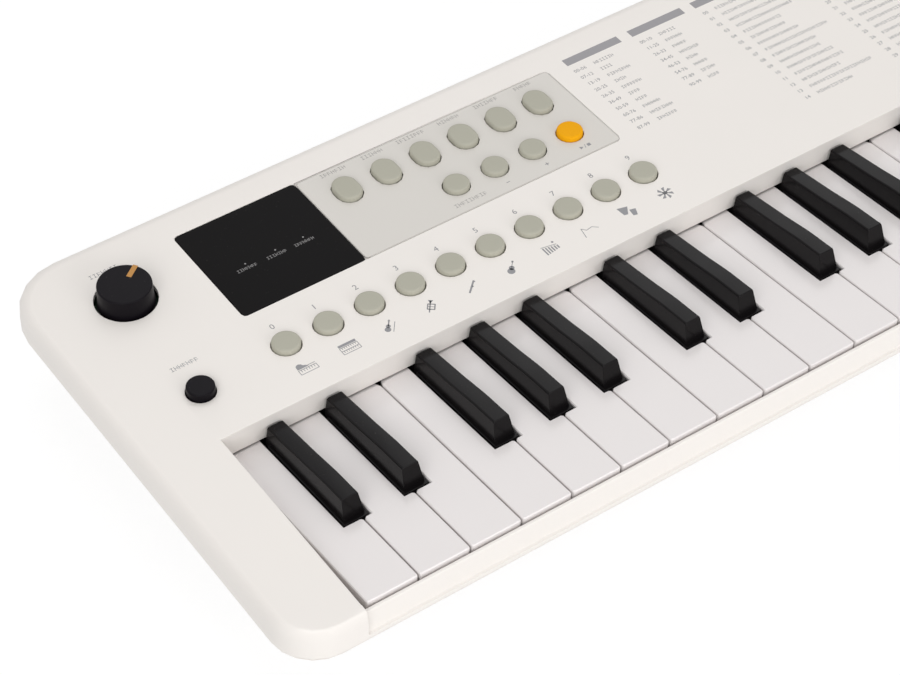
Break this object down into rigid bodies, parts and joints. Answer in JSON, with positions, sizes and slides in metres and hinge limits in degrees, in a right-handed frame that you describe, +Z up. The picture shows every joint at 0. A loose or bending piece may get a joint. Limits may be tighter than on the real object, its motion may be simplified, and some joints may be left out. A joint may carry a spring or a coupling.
{
  "type": "portable keyboard",
  "caption": "Portable electronic keyboard with mini keys, button rows, display window, volume knob and a slim two-part case on rubber feet",
  "frame": {"origin": "On the table under the middle of the keyboard, at the bottom of the rubber feet", "axes": "+X along the keyboard to the high notes, +Y from the player to the back edge, +Z up"},
  "size_m": [0.497, 0.1962, 0.0512],
  "materials": {
    "case_plastic": "fine satin texture, warm off-white",
    "white_keys": "smooth, neutral white",
    "black_keys": "satin black",
    "grey_silicone": "matt grey silicone rubber",
    "yellow_silicone": "matt yellow silicone rubber",
    "black_plastic": "satin black",
    "tinted_window": "polished, dark tinted",
    "grey_sheet": "matt printed film",
    "circuit_board": "green solder mask",
    "grey_plastic": "plain moulded",
    "plated_steel": "plated",
    "speaker_metal": "black painted basket and magnet",
    "black_rubber": "matt"
  },
  "bodies": {
    "case": {"upper_case": "case_plastic", "lower_case": "case_plastic", "display_window": "tinted_window", "panel_overlay": "grey_sheet", "key_frame": "grey_plastic", "contact_board": "circuit_board", "contact_strip": "grey_silicone", "panel_board": "circuit_board", "volume_pot": "plated_steel", "power_switch": "grey_plastic", "speaker_left": "speaker_metal", "speaker_right": "speaker_metal", "foot_front_left": "black_rubber", "foot_front_right": "black_rubber", "foot_back_left": "black_rubber", "foot_back_right": "black_rubber"},
    "battery_door": {"battery_door": "case_plastic"},
    "white_key_c1": {"white_key_c1": "white_keys"},
    "white_key_d1": {"white_key_d1": "white_keys"},
    "white_key_e1": {"white_key_e1": "white_keys"},
    "white_key_f1": {"white_key_f1": "white_keys"},
    "white_key_g1": {"white_key_g1": "white_keys"},
    "white_key_a1": {"white_key_a1": "white_keys"},
    "white_key_b1": {"white_key_b1": "white_keys"},
    "white_key_c2": {"white_key_c2": "white_keys"},
    "white_key_d2": {"white_key_d2": "white_keys"},
    "white_key_e2": {"white_key_e2": "white_keys"},
    "white_key_f2": {"white_key_f2": "white_keys"},
    "white_key_g2": {"white_key_g2": "white_keys"},
    "white_key_a2": {"white_key_a2": "white_keys"},
    "white_key_b2": {"white_key_b2": "white_keys"},
    "white_key_c3": {"white_key_c3": "white_keys"},
    "white_key_d3": {"white_key_d3": "white_keys"},
    "white_key_e3": {"white_key_e3": "white_keys"},
    "white_key_f3": {"white_key_f3": "white_keys"},
    "white_key_g3": {"white_key_g3": "white_keys"},
    "white_key_a3": {"white_key_a3": "white_keys"},
    "white_key_b3": {"white_key_b3": "white_keys"},
    "white_key_c4": {"white_key_c4": "white_keys"},
    "black_key_c_sharp1": {"black_key_c_sharp1": "black_keys"},
    "black_key_d_sharp1": {"black_key_d_sharp1": "black_keys"},
    "black_key_f_sharp1": {"black_key_f_sharp1": "black_keys"},
    "black_key_g_sharp1": {"black_key_g_sharp1": "black_keys"},
    "black_key_a_sharp1": {"black_key_a_sharp1": "black_keys"},
    "black_key_c_sharp2": {"black_key_c_sharp2": "black_keys"},
    "black_key_d_sharp2": {"black_key_d_sharp2": "black_keys"},
    "black_key_f_sharp2": {"black_key_f_sharp2": "black_keys"},
    "black_key_g_sharp2": {"black_key_g_sharp2": "black_keys"},
    "black_key_a_sharp2": {"black_key_a_sharp2": "black_keys"},
    "black_key_c_sharp3": {"black_key_c_sharp3": "black_keys"},
    "black_key_d_sharp3": {"black_key_d_sharp3": "black_keys"},
    "black_key_f_sharp3": {"black_key_f_sharp3": "black_keys"},
    "black_key_g_sharp3": {"black_key_g_sharp3": "black_keys"},
    "black_key_a_sharp3": {"black_key_a_sharp3": "black_keys"},
    "number_keypad": {"number_keypad": "grey_silicone"},
    "function_keypad": {"function_keypad": "grey_silicone"},
    "tempo_keypad": {"tempo_keypad": "grey_silicone"},
    "play_stop_button": {"play_stop_button": "yellow_silicone"},
    "power_button": {"power_button": "black_plastic"},
    "volume_knob": {"volume_knob": "black_plastic"}
  },
  "joints": [
    {"name": "white_key_c1_press", "type": "hinge", "parent": "case", "child": "white_key_c1", "pos_m": [-0.21, 0.0037, 0.0318], "axis": [1, 0, 0], "range_deg": [0, 3.1], "stiffness_Nm_per_rad": 0.5, "springref_deg": -3.44},
    {"name": "white_key_d1_press", "type": "hinge", "parent": "case", "child": "white_key_d1", "pos_m": [-0.19, 0.0037, 0.0318], "axis": [1, 0, 0], "range_deg": [0, 3.1], "stiffness_Nm_per_rad": 0.5, "springref_deg": -3.44},
    {"name": "white_key_e1_press", "type": "hinge", "parent": "case", "child": "white_key_e1", "pos_m": [-0.17, 0.0037, 0.0318], "axis": [1, 0, 0], "range_deg": [0, 3.1], "stiffness_Nm_per_rad": 0.5, "springref_deg": -3.44},
    {"name": "white_key_f1_press", "type": "hinge", "parent": "case", "child": "white_key_f1", "pos_m": [-0.15, 0.0037, 0.0318], "axis": [1, 0, 0], "range_deg": [0, 3.1], "stiffness_Nm_per_rad": 0.5, "springref_deg": -3.44},
    {"name": "white_key_g1_press", "type": "hinge", "parent": "case", "child": "white_key_g1", "pos_m": [-0.13, 0.0037, 0.0318], "axis": [1, 0, 0], "range_deg": [0, 3.1], "stiffness_Nm_per_rad": 0.5, "springref_deg": -3.44},
    {"name": "white_key_a1_press", "type": "hinge", "parent": "case", "child": "white_key_a1", "pos_m": [-0.11, 0.0037, 0.0318], "axis": [1, 0, 0], "range_deg": [0, 3.1], "stiffness_Nm_per_rad": 0.5, "springref_deg": -3.44},
    {"name": "white_key_b1_press", "type": "hinge", "parent": "case", "child": "white_key_b1", "pos_m": [-0.09, 0.0037, 0.0318], "axis": [1, 0, 0], "range_deg": [0, 3.1], "stiffness_Nm_per_rad": 0.5, "springref_deg": -3.44},
    {"name": "white_key_c2_press", "type": "hinge", "parent": "case", "child": "white_key_c2", "pos_m": [-0.07, 0.0037, 0.0318], "axis": [1, 0, 0], "range_deg": [0, 3.1], "stiffness_Nm_per_rad": 0.5, "springref_deg": -3.44},
    {"name": "white_key_d2_press", "type": "hinge", "parent": "case", "child": "white_key_d2", "pos_m": [-0.05, 0.0037, 0.0318], "axis": [1, 0, 0], "range_deg": [0, 3.1], "stiffness_Nm_per_rad": 0.5, "springref_deg": -3.44},
    {"name": "white_key_e2_press", "type": "hinge", "parent": "case", "child": "white_key_e2", "pos_m": [-0.03, 0.0037, 0.0318], "axis": [1, 0, 0], "range_deg": [0, 3.1], "stiffness_Nm_per_rad": 0.5, "springref_deg": -3.44},
    {"name": "white_key_f2_press", "type": "hinge", "parent": "case", "child": "white_key_f2", "pos_m": [-0.01, 0.0037, 0.0318], "axis": [1, 0, 0], "range_deg": [0, 3.1], "stiffness_Nm_per_rad": 0.5, "springref_deg": -3.44},
    {"name": "white_key_g2_press", "type": "hinge", "parent": "case", "child": "white_key_g2", "pos_m": [0.01, 0.0037, 0.0318], "axis": [1, 0, 0], "range_deg": [0, 3.1], "stiffness_Nm_per_rad": 0.5, "springref_deg": -3.44},
    {"name": "white_key_a2_press", "type": "hinge", "parent": "case", "child": "white_key_a2", "pos_m": [0.03, 0.0037, 0.0318], "axis": [1, 0, 0], "range_deg": [0, 3.1], "stiffness_Nm_per_rad": 0.5, "springref_deg": -3.44},
    {"name": "white_key_b2_press", "type": "hinge", "parent": "case", "child": "white_key_b2", "pos_m": [0.05, 0.0037, 0.0318], "axis": [1, 0, 0], "range_deg": [0, 3.1], "stiffness_Nm_per_rad": 0.5, "springref_deg": -3.44},
    {"name": "white_key_c3_press", "type": "hinge", "parent": "case", "child": "white_key_c3", "pos_m": [0.07, 0.0037, 0.0318], "axis": [1, 0, 0], "range_deg": [0, 3.1], "stiffness_Nm_per_rad": 0.5, "springref_deg": -3.44},
    {"name": "white_key_d3_press", "type": "hinge", "parent": "case", "child": "white_key_d3", "pos_m": [0.09, 0.0037, 0.0318], "axis": [1, 0, 0], "range_deg": [0, 3.1], "stiffness_Nm_per_rad": 0.5, "springref_deg": -3.44},
    {"name": "white_key_e3_press", "type": "hinge", "parent": "case", "child": "white_key_e3", "pos_m": [0.11, 0.0037, 0.0318], "axis": [1, 0, 0], "range_deg": [0, 3.1], "stiffness_Nm_per_rad": 0.5, "springref_deg": -3.44},
    {"name": "white_key_f3_press", "type": "hinge", "parent": "case", "child": "white_key_f3", "pos_m": [0.13, 0.0037, 0.0318], "axis": [1, 0, 0], "range_deg": [0, 3.1], "stiffness_Nm_per_rad": 0.5, "springref_deg": -3.44},
    {"name": "white_key_g3_press", "type": "hinge", "parent": "case", "child": "white_key_g3", "pos_m": [0.15, 0.0037, 0.0318], "axis": [1, 0, 0], "range_deg": [0, 3.1], "stiffness_Nm_per_rad": 0.5, "springref_deg": -3.44},
    {"name": "white_key_a3_press", "type": "hinge", "parent": "case", "child": "white_key_a3", "pos_m": [0.17, 0.0037, 0.0318], "axis": [1, 0, 0], "range_deg": [0, 3.1], "stiffness_Nm_per_rad": 0.5, "springref_deg": -3.44},
    {"name": "white_key_b3_press", "type": "hinge", "parent": "case", "child": "white_key_b3", "pos_m": [0.19, 0.0037, 0.0318], "axis": [1, 0, 0], "range_deg": [0, 3.1], "stiffness_Nm_per_rad": 0.5, "springref_deg": -3.44},
    {"name": "white_key_c4_press", "type": "hinge", "parent": "case", "child": "white_key_c4", "pos_m": [0.21, 0.0037, 0.0318], "axis": [1, 0, 0], "range_deg": [0, 3.1], "stiffness_Nm_per_rad": 0.5, "springref_deg": -3.44},
    {"name": "black_key_c_sharp1_press", "type": "hinge", "parent": "case", "child": "black_key_c_sharp1", "pos_m": [-0.20205, 0.0037, 0.0318], "axis": [1, 0, 0], "range_deg": [0, 3.1], "stiffness_Nm_per_rad": 0.5, "springref_deg": -3.44},
    {"name": "black_key_d_sharp1_press", "type": "hinge", "parent": "case", "child": "black_key_d_sharp1", "pos_m": [-0.17865, 0.0037, 0.0318], "axis": [1, 0, 0], "range_deg": [0, 3.1], "stiffness_Nm_per_rad": 0.5, "springref_deg": -3.44},
    {"name": "black_key_f_sharp1_press", "type": "hinge", "parent": "case", "child": "black_key_f_sharp1", "pos_m": [-0.14238, 0.0037, 0.0318], "axis": [1, 0, 0], "range_deg": [0, 3.1], "stiffness_Nm_per_rad": 0.5, "springref_deg": -3.44},
    {"name": "black_key_g_sharp1_press", "type": "hinge", "parent": "case", "child": "black_key_g_sharp1", "pos_m": [-0.1199, 0.0037, 0.0318], "axis": [1, 0, 0], "range_deg": [0, 3.1], "stiffness_Nm_per_rad": 0.5, "springref_deg": -3.44},
    {"name": "black_key_a_sharp1_press", "type": "hinge", "parent": "case", "child": "black_key_a_sharp1", "pos_m": [-0.0974, 0.0037, 0.0318], "axis": [1, 0, 0], "range_deg": [0, 3.1], "stiffness_Nm_per_rad": 0.5, "springref_deg": -3.44},
    {"name": "black_key_c_sharp2_press", "type": "hinge", "parent": "case", "child": "black_key_c_sharp2", "pos_m": [-0.06205, 0.0037, 0.0318], "axis": [1, 0, 0], "range_deg": [0, 3.1], "stiffness_Nm_per_rad": 0.5, "springref_deg": -3.44},
    {"name": "black_key_d_sharp2_press", "type": "hinge", "parent": "case", "child": "black_key_d_sharp2", "pos_m": [-0.03865, 0.0037, 0.0318], "axis": [1, 0, 0], "range_deg": [0, 3.1], "stiffness_Nm_per_rad": 0.5, "springref_deg": -3.44},
    {"name": "black_key_f_sharp2_press", "type": "hinge", "parent": "case", "child": "black_key_f_sharp2", "pos_m": [-0.00237, 0.0037, 0.0318], "axis": [1, 0, 0], "range_deg": [0, 3.1], "stiffness_Nm_per_rad": 0.5, "springref_deg": -3.44},
    {"name": "black_key_g_sharp2_press", "type": "hinge", "parent": "case", "child": "black_key_g_sharp2", "pos_m": [0.0201, 0.0037, 0.0318], "axis": [1, 0, 0], "range_deg": [0, 3.1], "stiffness_Nm_per_rad": 0.5, "springref_deg": -3.44},
    {"name": "black_key_a_sharp2_press", "type": "hinge", "parent": "case", "child": "black_key_a_sharp2", "pos_m": [0.0426, 0.0037, 0.0318], "axis": [1, 0, 0], "range_deg": [0, 3.1], "stiffness_Nm_per_rad": 0.5, "springref_deg": -3.44},
    {"name": "black_key_c_sharp3_press", "type": "hinge", "parent": "case", "child": "black_key_c_sharp3", "pos_m": [0.07795, 0.0037, 0.0318], "axis": [1, 0, 0], "range_deg": [0, 3.1], "stiffness_Nm_per_rad": 0.5, "springref_deg": -3.44},
    {"name": "black_key_d_sharp3_press", "type": "hinge", "parent": "case", "child": "black_key_d_sharp3", "pos_m": [0.10135, 0.0037, 0.0318], "axis": [1, 0, 0], "range_deg": [0, 3.1], "stiffness_Nm_per_rad": 0.5, "springref_deg": -3.44},
    {"name": "black_key_f_sharp3_press", "type": "hinge", "parent": "case", "child": "black_key_f_sharp3", "pos_m": [0.13762, 0.0037, 0.0318], "axis": [1, 0, 0], "range_deg": [0, 3.1], "stiffness_Nm_per_rad": 0.5, "springref_deg": -3.44},
    {"name": "black_key_g_sharp3_press", "type": "hinge", "parent": "case", "child": "black_key_g_sharp3", "pos_m": [0.1601, 0.0037, 0.0318], "axis": [1, 0, 0], "range_deg": [0, 3.1], "stiffness_Nm_per_rad": 0.5, "springref_deg": -3.44},
    {"name": "black_key_a_sharp3_press", "type": "hinge", "parent": "case", "child": "black_key_a_sharp3", "pos_m": [0.1826, 0.0037, 0.0318], "axis": [1, 0, 0], "range_deg": [0, 3.1], "stiffness_Nm_per_rad": 0.5, "springref_deg": -3.44},
    {"name": "number_keypad_press", "type": "slide", "parent": "case", "child": "number_keypad", "axis": [0, 0, -1], "range_m": [0, 0.001], "stiffness_N_per_m": 300, "springref_m": -0.003},
    {"name": "function_keypad_press", "type": "slide", "parent": "case", "child": "function_keypad", "axis": [0, 0, -1], "range_m": [0, 0.001], "stiffness_N_per_m": 250, "springref_m": -0.003},
    {"name": "tempo_keypad_press", "type": "slide", "parent": "case", "child": "tempo_keypad", "axis": [0, 0, -1], "range_m": [0, 0.001], "stiffness_N_per_m": 200, "springref_m": -0.003},
    {"name": "play_stop_button_press", "type": "slide", "parent": "case", "child": "play_stop_button", "axis": [0, 0, -1], "range_m": [0, 0.001], "stiffness_N_per_m": 120, "springref_m": -0.003},
    {"name": "power_button_press", "type": "slide", "parent": "case", "child": "power_button", "axis": [0, 0, -1], "range_m": [0, 0.0015], "stiffness_N_per_m": 120, "springref_m": -0.003},
    {"name": "volume_turn", "type": "hinge", "parent": "case", "child": "volume_knob", "pos_m": [-0.2151, 0.0647, 0.044], "axis": [0, 0, 1], "range_deg": [-96.5, 203.5]},
    {"name": "battery_door_slide", "type": "slide", "parent": "case", "child": "battery_door", "axis": [0, 1, 0], "range_m": [0, 0.045]}
  ]
}
